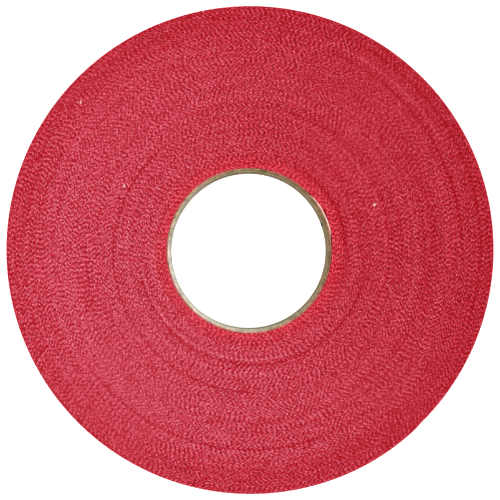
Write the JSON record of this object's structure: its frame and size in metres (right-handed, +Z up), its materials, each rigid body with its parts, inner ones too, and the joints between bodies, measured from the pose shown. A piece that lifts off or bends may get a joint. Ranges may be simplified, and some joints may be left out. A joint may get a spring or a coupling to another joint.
{
  "type": "cloth tape reel",
  "caption": "Flat flangeless roll of narrow woven cotton tape wound on a thin paperboard core, with a free end held by a paper tab that peels open.",
  "frame": {"origin": "centre of the lower end face, on the bore's axis: the roll lies flat on z = 0", "axes": "+Z up along the bore's axis, across the tape's width; +X and +Y in the plane of the end faces; the tape winds outwards anticlockwise seen from +Z"},
  "size_m": [0.1176, 0.1179, 0.025],
  "materials": {
    "core_liner": "matte",
    "core_board": "matte",
    "core_wrap": "matte",
    "starter_paper": "matte",
    "red_cotton": "matte",
    "tab_paper": "matte"
  },
  "bodies": {
    "roll": {"wound_tape": "red_cotton", "core_inner_liner": "core_liner", "core_middle_ply": "core_board", "core_outer_ply": "core_wrap", "starter_strip": "starter_paper"},
    "tail": {"tape_tail": "red_cotton", "closing_tab": "tab_paper"}
  },
  "joints": [
    {"name": "tail_peel", "type": "hinge", "parent": "roll", "child": "tail", "pos_m": [0.01443, -0.05682, 0], "axis": [0, 0, -1], "range_deg": [0, 90]}
  ]
}
